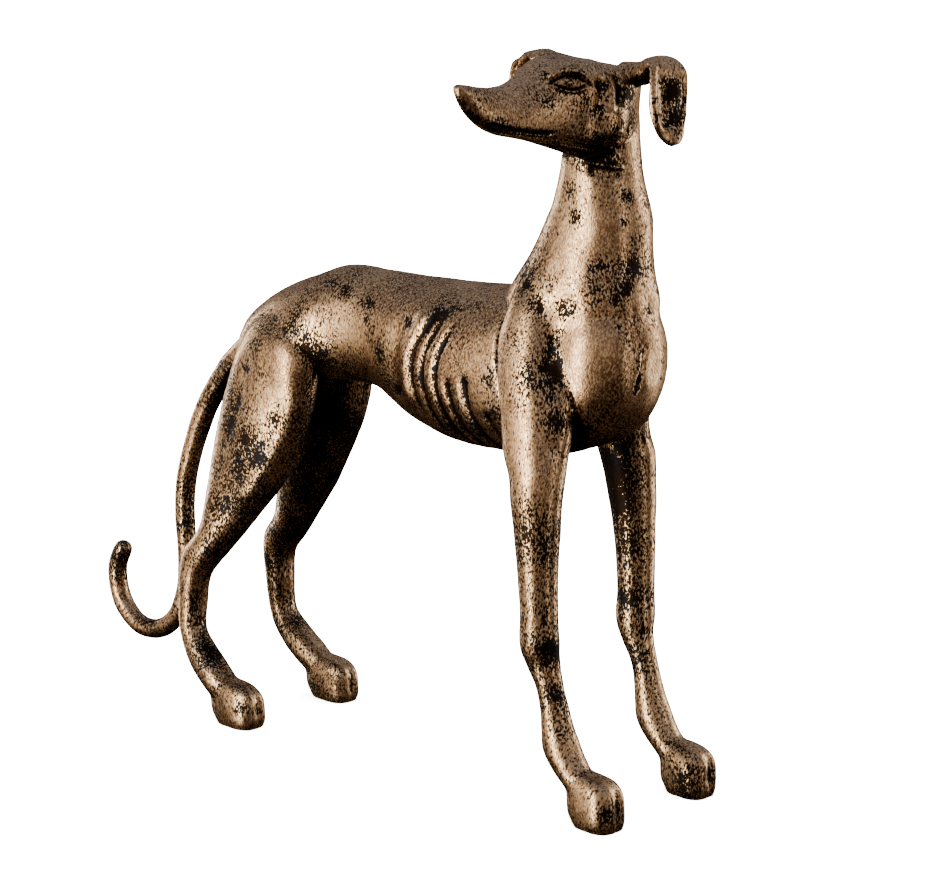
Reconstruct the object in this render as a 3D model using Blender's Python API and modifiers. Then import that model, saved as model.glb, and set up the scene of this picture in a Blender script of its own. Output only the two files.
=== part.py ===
"""Standing greyhound, cast in brass as one piece, with its head turned to its right.

A free form: every size but HEIGHT is a share of the height. The dog looks along +X, its left side is at
+Y, and the origin is on the ground under the middle of its bounding box.
"""

import math
from collections import namedtuple

import bmesh
import bpy
import numpy as np
from mathutils import Matrix, Vector

HEIGHT = 0.60  # metres, from the ground to the top of the ears

# How finely the figure is worked, as shares of its height
VOXEL = 0.0045
RING_POINTS = 32
STEPS_BETWEEN_RINGS = 5
MOST_TRIANGLES = 9400
EVEN_SOFTENING = 0.2
SOFTENING_ROUNDS = 24

# The head is worked at twice the scale of the body, so that its features get small faces
HEAD_SCALE = 2.0
SCALING_STARTS = 0.80
SCALING_ENDS = 0.88

# Stance: how far a limb's parts stand out from the middle plane
PAW_OUT = 0.098
HOCK_OUT = 0.090
FORE_PAW_X = 0.383
HIND_PAW_X = -0.311
PAW_HALF_LENGTH = 0.040
HOCK_BACK = 0.009  # how much further back the left hock stands
THIGH_FULLER = 0.008  # how much deeper the right thigh is
HIND_PAW_SHARE = 0.94  # of the fore paws' size
HIND_PAW_LONGER = 1.25  # for that size
SOLE_DEPTH = 0.012  # what the ground cuts off under each paw

# Head: where it turns, how far, and its ears' reach
HEAD_TURN = math.radians(-94)
HEAD_AXIS = Vector((0.314, 0.0, 0.0))
HEAD_LEAN = 0.14  # how much the skull's left side drops for each part out
HEAD_DEPTHS = (0.006, 0.075)  # between the middle of the head and the ears
EAR_OUT = 0.119
EAR_SHIFT = 0.013  # both ears sit a little to the head's right
EAR_LEAN = {-1: -0.012, 1: 0.075}  # the same for the right ear and the left

# Eye: its middle, ahead and up, and the lines around it, given from that middle for an eye of size 1
EYE = (0.1150, 0.9625)
EYE_SIZE = 0.8
BROW = [(0.032, 0.004), (0.021, 0.012), (0.003, 0.018), (-0.016, 0.016), (-0.031, 0.005), (-0.036, -0.005)]
LOWER_LID = [(0.030, 0.000), (0.016, -0.009), (-0.004, -0.013), (-0.021, -0.010), (-0.032, -0.003)]

# Ribs: grooves that bow forward above and below RIB_LEVEL
RIB_LEVEL = 0.55
RIB_BOW = 4.0
RIB_WIDTH = 0.0085
RIB_DEPTH = 0.0055

RIGHT, LEFT = -1, 1

Oval = namedtuple("Oval", "at side up egg square")
View = namedtuple("View", "origin across up facing")


def clear_scene():
    for old in list(bpy.data.objects):
        bpy.data.objects.remove(old)


def oval(at, side, up, egg=0.0, square=2.0):
    """A cross-section: centre, half sizes, how much wider its top is, and how square it is."""
    return Oval(Vector(at), side, up, egg, square)


def curve_through(values, steps, closed=False):
    """Catmull-Rom samples through rows of numbers, which may be points or whole rings."""
    rows = np.asarray(values, float)
    if closed:
        padded = np.concatenate([rows[-1:], rows, rows[:2]])
    else:
        padded = np.concatenate([[2 * rows[0] - rows[1]], rows, [2 * rows[-1] - rows[-2]]])
    samples = []
    for a, b, c, d in zip(padded, padded[1:], padded[2:], padded[3:]):
        for t in np.arange(steps) / steps:
            samples.append(0.5 * (2 * b + (c - a) * t + (2 * a - 5 * b + 4 * c - d) * t**2
                                  + (3 * b - a - 3 * c + d) * t**3))
    if not closed:
        samples.append(rows[-1])
    return np.array(samples)


def oval_ring(section, facing, side):
    """The points of one cross-section, square to facing."""
    across = (side - facing * facing.dot(side)).normalized()
    upward = facing.cross(across)
    rounding = 2 / section.square
    ring = []
    for k in range(RING_POINTS):
        turn = 2 * math.pi * k / RING_POINTS
        c, s = math.cos(turn), math.sin(turn)
        out = section.side * math.copysign(abs(c) ** rounding, c) * (1 + section.egg * s)
        rise = section.up * math.copysign(abs(s) ** rounding, s)
        ring.append(section.at + across * out + upward * rise)
    return ring


def limb(sections, side, axis=None):
    """A closed form through oval sections, square to axis or, without one, to their own path."""
    path = np.array([s.at for s in sections])
    tangents = np.gradient(path, axis=0)
    facings = [Vector(axis or t).normalized() for t in tangents.tolist()]
    return loft([oval_ring(s, f, Vector(side)) for s, f in zip(sections, facings)])


def loft(rings):
    """A closed mesh skinned over rings of the same number of points."""
    mesh = bmesh.new()
    skin = []
    for ring in curve_through(rings, STEPS_BETWEEN_RINGS):
        skin.append([mesh.verts.new(point) for point in ring])
    for low, high in zip(skin, skin[1:]):
        for k in range(len(low)):
            n = (k + 1) % len(low)
            mesh.faces.new((low[k], low[n], high[n], high[k]))
    mesh.faces.new(skin[0])
    mesh.faces.new(skin[-1])
    bmesh.ops.recalc_face_normals(mesh, faces=mesh.faces)
    return mesh


def torso():
    """Rump, loin, tucked waist, ribcage and breast."""
    return limb([
        oval((-0.378, 0, 0.548), 0.010, 0.014),
        oval((-0.367, 0, 0.552), 0.036, 0.040),
        oval((-0.332, 0, 0.566), 0.057, 0.058),
        oval((-0.277, 0, 0.587), 0.067, 0.067),
        oval((-0.220, 0, 0.599), 0.070, 0.075),
        oval((-0.160, 0, 0.608), 0.062, 0.084),
        oval((-0.090, 0, 0.604), 0.058, 0.086),
        oval((-0.020, 0, 0.585), 0.069, 0.102),
        oval((0.060, 0, 0.574), 0.083, 0.112),
        oval((0.140, 0, 0.573), 0.090, 0.114, 0.0, 2.2),
        oval((0.220, 0, 0.578), 0.092, 0.118, 0.0, 2.2),
        oval((0.300, 0, 0.592), 0.084, 0.110, 0.05, 2.2),
        oval((0.346, 0, 0.597), 0.073, 0.096, 0.05, 2.2),
        oval((0.376, 0, 0.602), 0.052, 0.070, 0.05),
        oval((0.390, 0, 0.605), 0.022, 0.034),
    ], side=(0, 1, 0), axis=(1, 0, 0))


def neck():
    """Rises from withers and breast, near upright, to the throat."""
    return limb([
        oval((0.225, 0, 0.585), 0.070, 0.090),
        oval((0.265, 0, 0.640), 0.083, 0.112),
        oval((0.284, 0, 0.695), 0.074, 0.099, 0.0, 2.2),
        oval((0.294, 0, 0.745), 0.065, 0.080, 0.0, 2.3),
        oval((0.304, -0.001, 0.795), 0.058, 0.067, 0.0, 2.3),
        oval((0.306, -0.004, 0.845), 0.052, 0.054, 0.0, 2.2),
        oval((0.308, -0.006, 0.890), 0.051, 0.049),
        oval((0.312, -0.004, 0.935), 0.044, 0.041),
        oval((0.313, 0, 0.970), 0.022, 0.022),
    ], side=(0, 1, 0))


def head_turn():
    return Matrix.Rotation(HEAD_TURN, 3, "Z")


def in_head(forward, left, z):
    """A point given in the head's own directions, turned to where the head looks."""
    return HEAD_AXIS + head_turn() @ Vector((forward, left, z))


def head_ring(forward, top, brow, cheek, lip, bottom):
    """A section of the head. brow, cheek and lip are (half width, height)."""
    half = [brow, cheek, lip]
    outline = [(0, top), *half, (0, bottom), *((-w, z) for w, z in reversed(half))]
    points = curve_through(outline, RING_POINTS // 8, closed=True)
    return [in_head(forward, w, z - HEAD_LEAN * w) for w, z in points]


def skull():
    """Cranium, brows, cheeks, long muzzle and lifted nose."""
    return loft([
        head_ring(-0.038, 0.960, (0.012, 0.956), (0.014, 0.934), (0.010, 0.908), 0.903),
        head_ring(-0.028, 0.978, (0.025, 0.972), (0.028, 0.942), (0.022, 0.898), 0.886),
        head_ring(-0.010, 0.983, (0.043, 0.974), (0.043, 0.942), (0.034, 0.892), 0.870),
        head_ring(0.026, 0.988, (0.055, 0.978), (0.057, 0.933), (0.045, 0.890), 0.866),
        head_ring(0.062, 0.993, (0.049, 0.983), (0.057, 0.931), (0.042, 0.889), 0.868),
        head_ring(0.095, 0.992, (0.041, 0.985), (0.050, 0.934), (0.037, 0.893), 0.876),
        head_ring(0.125, 0.987, (0.032, 0.979), (0.043, 0.934), (0.033, 0.898), 0.884),
        head_ring(0.152, 0.973, (0.023, 0.967), (0.036, 0.930), (0.029, 0.902), 0.891),
        head_ring(0.180, 0.963, (0.0175, 0.957), (0.030, 0.929), (0.025, 0.906), 0.896),
        head_ring(0.208, 0.959, (0.015, 0.953), (0.025, 0.932), (0.021, 0.911), 0.901),
        head_ring(0.232, 0.960, (0.014, 0.954), (0.020, 0.937), (0.0165, 0.919), 0.911),
        head_ring(0.252, 0.963, (0.012, 0.958), (0.015, 0.946), (0.011, 0.932), 0.927),
        head_ring(0.266, 0.964, (0.008, 0.961), (0.009, 0.955), (0.006, 0.947), 0.944),
        head_ring(0.271, 0.961, (0.004, 0.960), (0.004, 0.957), (0.003, 0.954), 0.953),
    ])


def ear_reach(hand):
    return EAR_OUT - hand * EAR_SHIFT


def ear(hand):
    """A stalk standing out level from the skull, and the leaf that folds down from its end."""
    reach = ear_reach(hand)
    leaf_side = head_turn() @ Vector((-1.0, 0.1 * hand, 0.0))
    sections = [
        (0.006, 0.030, 0.974, 0.018, 0.0165),
        (0.004, 0.062, 0.978, 0.019, 0.0155),
        (0.001, reach - 0.030, 0.986, 0.022, 0.0140),
        (0.001, reach - 0.012, 0.991, 0.025, 0.0125),
        (0.006, reach, 0.988, 0.028, 0.0110),
        (0.011, reach + 0.005, 0.971, 0.029, 0.0100),
        (0.013, reach + 0.006, 0.940, 0.029, 0.0090),
        (0.009, reach + 0.009, 0.915, 0.0245, 0.0080),
        (0.005, reach + 0.012, 0.902, 0.0175, 0.0065),
        (0.003, reach + 0.013, 0.894, 0.0080, 0.0040),
    ]
    return limb([
        oval(in_head(forward, hand * out, z - EAR_LEAN[hand] * hand * out), side, up)
        for forward, out, z, side, up in sections
    ], side=leaf_side)


def fore_leg(hand):
    """Shoulder blade, upper arm, long forearm, knee, and a pastern that runs into its paw."""
    paw_x = FORE_PAW_X
    return limb([
        oval((0.256, hand * 0.044, 0.715), 0.018, 0.026),
        oval((0.248, hand * 0.060, 0.655), 0.028, 0.040),
        oval((0.252, hand * 0.071, 0.600), 0.033, 0.050),
        oval((0.268, hand * 0.080, 0.530), 0.035, 0.052),
        oval((0.275, hand * 0.091, 0.470), 0.034, 0.043),
        oval((0.279, hand * 0.098, 0.420), 0.032, 0.037),
        oval((0.284, hand * 0.101, 0.340), 0.027, 0.030),
        oval((0.2865, hand * 0.101, 0.272), 0.0245, 0.0275),
        oval((0.2870, hand * 0.100, 0.232), 0.0250, 0.0290),
        oval((0.2925, hand * PAW_OUT, 0.206), 0.0215, 0.0240),
        oval((0.3030, hand * PAW_OUT, 0.178), 0.0185, 0.0195),
        oval((0.3115, hand * PAW_OUT, 0.148), 0.0190, 0.0195),
        oval((paw_x - 0.0650, hand * PAW_OUT, 0.118), 0.0215, 0.0240),
        oval((paw_x - 0.0600, hand * PAW_OUT, 0.100), 0.0230, 0.0275),
        oval((paw_x - 0.0460, hand * PAW_OUT, 0.078), 0.0225, 0.0245),
        oval((paw_x - 0.0210, hand * PAW_OUT, 0.050), 0.0200, 0.0200),
    ], side=(0, 1, 0))


def hind_leg(hand):
    """Broad thigh, second thigh, hock, upright shank, and a pastern that runs into its paw."""
    paw_x = HIND_PAW_X
    back = HOCK_BACK if hand == LEFT else 0.0
    fuller = THIGH_FULLER if hand == RIGHT else 0.0
    return limb([
        oval((-0.245, hand * 0.034, 0.620), 0.026, 0.040),
        oval((-0.255, hand * 0.050, 0.565), 0.036, 0.072),
        oval((-0.279, hand * 0.054, 0.490), 0.040, 0.083),
        oval((-0.313 + 0.5 * fuller, hand * 0.063, 0.405), 0.037, 0.067 + fuller),
        oval((-0.342, hand * 0.071, 0.335), 0.032, 0.049 + 0.5 * fuller),
        oval((-0.370 - 0.7 * back, hand * 0.081, 0.275), 0.028, 0.032),
        oval((-0.402 - back, hand * 0.088, 0.236), 0.0265, 0.0290),
        oval((-0.4125 - 0.5 * back, hand * HOCK_OUT, 0.203), 0.0240, 0.0250),
        oval((-0.4150, hand * HOCK_OUT, 0.172), 0.0225, 0.0230),
        oval((-0.4150, hand * 0.092, 0.141), 0.0215, 0.0215),
        oval((-0.4090, hand * 0.093, 0.117), 0.0215, 0.0215),
        oval((paw_x - 0.0810, hand * 0.095, 0.095), 0.0240, 0.0240),
        oval((paw_x - 0.0610, hand * 0.096, 0.077), 0.0250, 0.0250),
        oval((paw_x - 0.0370, hand * PAW_OUT, 0.058), 0.0245, 0.0245),
        oval((paw_x - 0.0110, hand * PAW_OUT, 0.040), 0.0195, 0.0195),
    ], side=(0, 1, 0))


def paw(hand, x, size, longer):
    """A round club of a paw, whose toes lift a little off the ground that cuts it level below."""
    shape = [
        (-1.0, 0.010, 0.053, 0.0125),
        (-0.75, 0.000, 0.069, 0.0190),
        (-0.40, -SOLE_DEPTH, 0.073, 0.0245),
        (0.10, -SOLE_DEPTH, 0.071, 0.0280),
        (0.50, -SOLE_DEPTH, 0.067, 0.0290),
        (0.82, -0.004, 0.058, 0.0260),
        (0.97, 0.008, 0.046, 0.0170),
    ]
    return limb([
        oval((x + size * longer * PAW_HALF_LENGTH * along, hand * PAW_OUT, (size * top + bottom) / 2),
             size * width, (size * top - bottom) / 2, 0.0, 2.8)
        for along, bottom, top, width in shape
    ], side=(0, 1, 0), axis=(1, 0, 0))


def tail():
    """Hangs from the rump behind the legs and hooks up at its end."""
    path = [
        (-0.335, 0.575, 0.020),
        (-0.380, 0.550, 0.021),
        (-0.428, 0.512, 0.0190),
        (-0.474, 0.456, 0.0175),
        (-0.508, 0.392, 0.0170),
        (-0.530, 0.327, 0.0165),
        (-0.535, 0.270, 0.0160),
        (-0.532, 0.215, 0.0155),
        (-0.535, 0.160, 0.0155),
        (-0.558, 0.108, 0.0155),
        (-0.600, 0.078, 0.016),
        (-0.652, 0.077, 0.016),
        (-0.692, 0.110, 0.016),
        (-0.704, 0.160, 0.0160),
        (-0.686, 0.198, 0.0150),
        (-0.680, 0.206, 0.006),
    ]
    return limb([oval((x, 0, z), radius, radius) for x, z, radius in path], side=(0, 1, 0))


def all_forms():
    forms = [torso(), neck(), skull(), tail()]
    for hand in (RIGHT, LEFT):
        forms += [ear(hand), fore_leg(hand), hind_leg(hand)]
        forms += [paw(hand, FORE_PAW_X, 1.0, 1.0), paw(hand, HIND_PAW_X, HIND_PAW_SHARE, HIND_PAW_LONGER)]
    return forms


def working_scale():
    """Heights, how many times larger the figure is worked at each, and the height each is worked at."""
    levels = np.linspace(-0.1, 1.2, 2601)
    step = np.clip((levels - SCALING_STARTS) / (SCALING_ENDS - SCALING_STARTS), 0, 1)
    scale = 1 + (HEAD_SCALE - 1) * step * step * (3 - 2 * step)
    worked = levels[0] + np.concatenate([[0], np.cumsum((scale[1:] + scale[:-1]) / 2 * np.diff(levels))])
    return levels, scale, worked


def enlarge_head(points):
    levels, scale, worked = working_scale()
    factor = np.interp(points[:, 2], levels, scale)
    x = HEAD_AXIS.x + (points[:, 0] - HEAD_AXIS.x) * factor
    return np.column_stack([x, points[:, 1] * factor, np.interp(points[:, 2], levels, worked)])


def restore_head(points):
    levels, scale, worked = working_scale()
    z = np.interp(points[:, 2], worked, levels)
    factor = np.interp(z, levels, scale)
    return np.column_stack([HEAD_AXIS.x + (points[:, 0] - HEAD_AXIS.x) / factor, points[:, 1] / factor, z])


def points_of(mesh):
    points = np.empty(len(mesh.vertices) * 3, np.float32)
    mesh.vertices.foreach_get("co", points)
    return points.reshape(-1, 3).astype(float)


def normals_of(mesh):
    normals = np.empty(len(mesh.vertices) * 3, np.float32)
    mesh.vertices.foreach_get("normal", normals)
    return normals.reshape(-1, 3).astype(float)


def move_points(mesh, points):
    mesh.vertices.foreach_set("co", np.ascontiguousarray(points, np.float32).ravel())
    mesh.update()


def as_object(mesh, name):
    figure = bpy.data.objects.new(name, mesh)
    bpy.context.scene.collection.objects.link(figure)
    return figure


def with_modifiers_applied(figure):
    """Replaces the object's mesh by what its modifiers make of it."""
    graph = bpy.context.evaluated_depsgraph_get()
    made = bpy.data.meshes.new_from_object(figure.evaluated_get(graph))
    figure.modifiers.clear()
    figure.data = made


def fused(forms):
    """One closed skin over all the forms."""
    mesh = bmesh.new()
    for form in forms:
        loose = bpy.data.meshes.new("form")
        form.to_mesh(loose)
        form.free()
        mesh.from_mesh(loose)
        bpy.data.meshes.remove(loose)
    data = bpy.data.meshes.new("greyhound")
    mesh.to_mesh(data)
    mesh.free()
    move_points(data, enlarge_head(points_of(data)))
    figure = as_object(data, "greyhound")
    skin = figure.modifiers.new("skin", "REMESH")
    skin.mode = "VOXEL"
    skin.voxel_size = VOXEL
    with_modifiers_applied(figure)
    return figure


def near(points, centre, radius):
    """1 at centre, falling smoothly to 0 at radius."""
    distance = np.linalg.norm(points - np.array(centre), axis=1) / radius
    inside = np.clip(1 - distance, 0, 1)
    return inside * inside * (3 - 2 * inside)


def soften(figure):
    """Runs the forms into one another where limbs, neck, ears and tail join."""
    points = restore_head(points_of(figure.data))
    joins = [
        ((0.205, 0, 0.69), 0.13),
        ((0.37, 0, 0.68), 0.14),
        ((-0.37, 0, 0.565), 0.06),
        ((0.31, 0, 0.885), 0.10),
    ]
    for hand in (RIGHT, LEFT):
        joins += [
            ((0.25, hand * 0.08, 0.60), 0.14),
            ((0.27, hand * 0.06, 0.47), 0.07),
            ((-0.22, hand * 0.06, 0.57), 0.13),
            ((-0.20, hand * 0.05, 0.50), 0.07),
            ((FORE_PAW_X - 0.033, hand * PAW_OUT, 0.065), 0.045),
            ((HIND_PAW_X - 0.019, hand * PAW_OUT, 0.06), 0.045),
            (in_head(0.01, hand * 0.062, 0.975), 0.03),
        ]
    weight = np.full(len(points), EVEN_SOFTENING)
    for centre, radius in joins:
        weight = np.maximum(weight, near(points, centre, radius))
    group = figure.vertex_groups.new(name="joins")
    levels = np.round(weight * 20).astype(int)
    for level in np.unique(levels):
        group.add(np.nonzero(levels == level)[0].tolist(), level / 20, "REPLACE")
    smooth = figure.modifiers.new("soften", "SMOOTH")
    smooth.factor = 0.5
    smooth.iterations = SOFTENING_ROUNDS
    smooth.vertex_group = "joins"
    with_modifiers_applied(figure)


def view(origin, across, facing):
    return View(Vector(origin), Vector(across), Vector((0, 0, 1)), Vector(facing))


def side_view(hand):
    return view((0, 0, 0), (1, 0, 0), (0, hand, 0))


def quarter_view(hand):
    """From in front and to one side."""
    half = math.sqrt(0.5)
    return view((0, 0, 0), (half, -hand * half, 0), (half, hand * half, 0))


def front_view():
    return view((0, 0, 0), (0, 1, 0), (1, 0, 0))


def head_side_view(hand):
    turn = head_turn()
    return view(HEAD_AXIS, turn @ Vector((1, 0, 0)), turn @ Vector((0, hand, 0)))


def ear_view(hand):
    """Onto the cupped outer face of a hanging ear."""
    turn = head_turn()
    return view(in_head(0.012, hand * ear_reach(hand), 0.930),
                turn @ Vector((-1.0, 0.1 * hand, 0)), turn @ Vector((0.1, hand, 0)))


def seen_in(drawing, points, normals):
    """Where points lie in a view, how near they are to the eye, and how squarely they face it."""
    origin, across, up, facing = (np.array(part) for part in drawing)
    moved = points - origin
    flat = np.column_stack([moved @ across, moved @ up])
    return flat, moved @ facing, np.clip((normals @ facing - 0.05) / 0.3, 0, 1)


def along_line(flat, line):
    """How far points lie from a line, how far along it they are, and on which side of it."""
    starts, spans = line[:-1], np.diff(line, axis=0)
    gaps = flat[:, None] - starts[None]
    shares = np.clip((gaps * spans).sum(axis=2) / (spans**2).sum(axis=1), 0, 1)
    squared = ((gaps - shares[..., None] * spans) ** 2).sum(axis=2)
    nearest = squared.argmin(axis=1)
    each = np.arange(len(flat))
    along = (nearest + shares[each, nearest]) / len(spans)
    span, gap = spans[nearest], gaps[each, nearest]
    return np.sqrt(squared[each, nearest]), along, span[:, 1] * gap[:, 0] > span[:, 0] * gap[:, 1]


def stroke(points, normals, drawing, path, width, rise, depths=(0.0, 1.0), lift=0.0, reach=0.0):
    """Moves the surface along a drawn line: up for a ridge, down for a groove. Both ends fade.

    lift also raises what lies on the right of the line, fading over reach.
    """
    flat, depth, facing = seen_in(drawing, points, normals)
    line = curve_through(path, 6)
    margin = 3 * max(width, reach)
    close = (facing > 0) & (depth > depths[0]) & (depth < depths[1])
    close &= ((flat > line.min(axis=0) - margin) & (flat < line.max(axis=0) + margin)).all(axis=1)
    distance, along, on_right = along_line(flat[close], line)
    amount = rise * np.exp(-(distance / width) ** 2)
    if lift:
        amount += lift * on_right * np.exp(-(distance / reach) ** 2)
    ends = np.clip(np.minimum(along, 1 - along) / 0.18, 0, 1)
    amount *= ends * ends * (3 - 2 * ends) * facing[close]
    points[close] += normals[close] * amount[:, None]


def mound(points, normals, drawing, centre, radii, rise, depths=(0.0, 1.0)):
    """A soft oval rise, or a hollow where rise is below 0."""
    flat, depth, facing = seen_in(drawing, points, normals)
    squared = (((flat - np.array(centre)) / np.array(radii)) ** 2).sum(axis=1)
    amount = rise * np.exp(-squared) * facing * (depth > depths[0]) * (depth < depths[1])
    points += normals * amount[:, None]


def rib(x, low, high):
    heights = np.linspace(low, high, 5)
    return np.column_stack([x + RIB_BOW * (heights - RIB_LEVEL) ** 2, heights])


def carve_body(points, normals, hand):
    """Ribs, shoulder blade, hip and thigh."""
    def draw(path, width, rise, **lifted):
        stroke(points, normals, side_view(hand), path, width, rise, **lifted)

    draw(rib(-0.012, 0.510, 0.650), 0.020, -0.004)
    draw(rib(0.014, 0.505, 0.660), 0.011, 0.0045)
    for x, low, high, share in (
        (0.031, 0.490, 0.655, 0.8),
        (0.053, 0.470, 0.650, 1.0),
        (0.081, 0.455, 0.645, 1.2),
        (0.107, 0.455, 0.570, 1.0),
        (0.140, 0.455, 0.575, 1.2),
        (0.173, 0.455, 0.530, 0.7),
    ):
        draw(rib(x, low, high), RIB_WIDTH, -RIB_DEPTH * share)
    blade = [(0.230, 0.440), (0.224, 0.500), (0.212, 0.570), (0.202, 0.620), (0.205, 0.665), (0.235, 0.735)]
    draw(blade, 0.006, -0.006, lift=0.008, reach=0.040)
    mound(points, normals, side_view(hand), (-0.205, 0.560), (0.040, 0.055), 0.010)
    draw([(-0.285, 0.57), (-0.305, 0.50), (-0.330, 0.43), (-0.350, 0.37)], 0.018, -0.003)
    draw([(-0.190, 0.53), (-0.220, 0.45), (-0.265, 0.38), (-0.310, 0.32)], 0.014, 0.004)


def carve_chest(points, normals, hand):
    """The valley between arm and breast, the collar mounds, the throat's fold and a scar."""
    quarter, front = quarter_view(hand), front_view()
    ahead, breast = (0.05, 1.0), (0.25, 1.0)
    valley = [(0.172, 0.705), (0.157, 0.660), (0.147, 0.610), (0.143, 0.560), (0.147, 0.500), (0.155, 0.460)]
    stroke(points, normals, quarter, valley, 0.020, -0.0060, ahead)
    slit = [(0.151, 0.640), (0.145, 0.622), (0.139, 0.604), (0.137, 0.586)]
    stroke(points, normals, quarter, slit, 0.0080, -0.0030, ahead)
    mound(points, normals, front, (hand * 0.028, 0.676), (0.020, 0.022), 0.005, breast)
    if hand == RIGHT:
        fold = [(0.186, 0.861), (0.212, 0.856), (0.242, 0.852)]
        stroke(points, normals, quarter, fold, 0.0050, 0.0030, ahead)
        stroke(points, normals, quarter, [(x, z - 0.010) for x, z in fold], 0.0070, -0.0030, ahead)
    else:
        scar = [(-0.013, 0.632), (-0.018, 0.610), (-0.023, 0.585), (-0.028, 0.560)]
        stroke(points, normals, front, scar, 0.0045, -0.0035, breast)


def around_eye(path):
    return [(EYE[0] + EYE_SIZE * ahead, EYE[1] + EYE_SIZE * up) for ahead, up in path]


def carve_head(points, normals, hand):
    """Mouth, eye, brow, cheek, jaw and the tendon in front of the ear."""
    def draw(path, width, rise):
        stroke(points, normals, head_side_view(hand), path, width, rise, HEAD_DEPTHS)

    def press(centre, radii, rise):
        mound(points, normals, head_side_view(hand), centre, radii, rise, HEAD_DEPTHS)

    draw([(0.238, 0.916), (0.200, 0.907), (0.168, 0.903), (0.130, 0.901)], 0.0028, -0.0070)
    press(EYE, (0.022, 0.012), -0.0030)
    draw(around_eye(BROW), 0.0042, 0.0065)
    draw(around_eye(LOWER_LID), 0.0032, 0.0036)
    press(EYE, (0.0110, 0.0062), 0.0070)
    press((0.047, 0.910), (0.022, 0.024), 0.009)
    press((0.086, 0.924), (0.014, 0.024), -0.0030)
    draw([(0.150, 0.889), (0.115, 0.880), (0.080, 0.874), (0.050, 0.874), (0.026, 0.888), (0.014, 0.915)],
         0.007, -0.009)
    draw([(0.059, 0.980), (0.057, 0.955), (0.060, 0.922)], 0.0050, 0.0045)
    draw([(0.046, 0.978), (0.044, 0.955), (0.048, 0.930)], 0.0055, -0.0050)
    draw([(0.073, 0.972), (0.071, 0.950), (0.074, 0.925)], 0.0060, -0.0045)


def carve_ear(points, normals, hand):
    """The cup of the leaf and its two rolled rims."""
    for path, width, rise in (
        ([(-0.010, 0.050), (-0.009, 0.020), (-0.007, -0.008), (-0.003, -0.028)], 0.0110, -0.0060),
        ([(-0.016, 0.062), (-0.024, 0.045), (-0.026, 0.015), (-0.023, -0.010), (-0.012, -0.034)],
         0.0055, 0.0055),
        ([(0.020, 0.060), (0.026, 0.030), (0.025, 0.000), (0.016, -0.028)], 0.0050, 0.0035),
    ):
        stroke(points, normals, ear_view(hand), path, width, rise, depths=(-0.020, 0.030))


def carve_paws(points, normals, hand):
    """Broad creases that part the toes, down the front of each paw."""
    crease_width, crease_depth = 0.0065, 0.0045
    for x in (FORE_PAW_X, HIND_PAW_X):
        for out in (-0.022, 0.000, 0.022):
            middle = np.array([x + PAW_HALF_LENGTH - 0.006, hand * (PAW_OUT + out), 0.034])
            offsets = (points - middle) / np.array([0.020, crease_width, 0.026])
            near_toe = np.exp(-(offsets**2).sum(axis=1))
            points -= normals * (crease_depth * near_toe)[:, None]


def carve(figure):
    points = restore_head(points_of(figure.data))
    for cut in (carve_body, carve_chest, carve_head, carve_ear, carve_paws):
        for hand in (RIGHT, LEFT):
            move_points(figure.data, points)
            cut(points, normals_of(figure.data), hand)
    move_points(figure.data, enlarge_head(points))


def faceted(figure):
    """Thins the skin to few triangles, smallest on the head, and brings it to its real size."""
    count = sum(len(face.vertices) - 2 for face in figure.data.polygons)
    thin = figure.modifiers.new("thin", "DECIMATE")
    thin.ratio = MOST_TRIANGLES / count
    with_modifiers_applied(figure)
    points = restore_head(points_of(figure.data))
    middle = (points.min(axis=0) + points.max(axis=0)) / 2
    points -= np.array([middle[0], middle[1], 0.0])
    move_points(figure.data, points * (HEIGHT / points[:, 2].max()))


def ground_below(cutters):
    """What lies under the ground, which leaves each paw a level sole."""
    size = 2 * HEIGHT
    bpy.ops.mesh.primitive_cube_add(size=size, location=(0, 0, -size / 2))
    ground = bpy.context.object
    ground.name = "ground"
    ground.hide_render = True
    ground.display_type = "WIRE"
    for collection in list(ground.users_collection):
        collection.objects.unlink(ground)
    cutters.objects.link(ground)
    return ground


def brass():
    material = bpy.data.materials.new("antiqued_brass")
    material.use_nodes = True
    shader = material.node_tree.nodes["Principled BSDF"]
    shader.inputs["Base Color"].default_value = (0.36, 0.20, 0.09, 1.0)
    shader.inputs["Metallic"].default_value = 1.0
    shader.inputs["Roughness"].default_value = 0.42
    return material


def collection_named(name):
    collection = bpy.data.collections.new(name)
    bpy.context.scene.collection.children.link(collection)
    return collection


def main():
    clear_scene()
    figure = fused(all_forms())
    soften(figure)
    carve(figure)
    faceted(figure)
    parts = collection_named("brass_greyhound_sculpture")
    cutters = collection_named("cutters")
    bpy.context.scene.collection.objects.unlink(figure)
    parts.objects.link(figure)
    figure.data.materials.append(brass())
    level = figure.modifiers.new("level_soles", "BOOLEAN")
    level.operation = "DIFFERENCE"
    level.solver = "EXACT"
    level.object = ground_below(cutters)


main()
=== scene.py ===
import math

import bmesh
import bpy
import numpy as np
from mathutils import Matrix, Vector, noise
from mathutils.bvhtree import BVHTree
from mathutils.kdtree import KDTree


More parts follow.
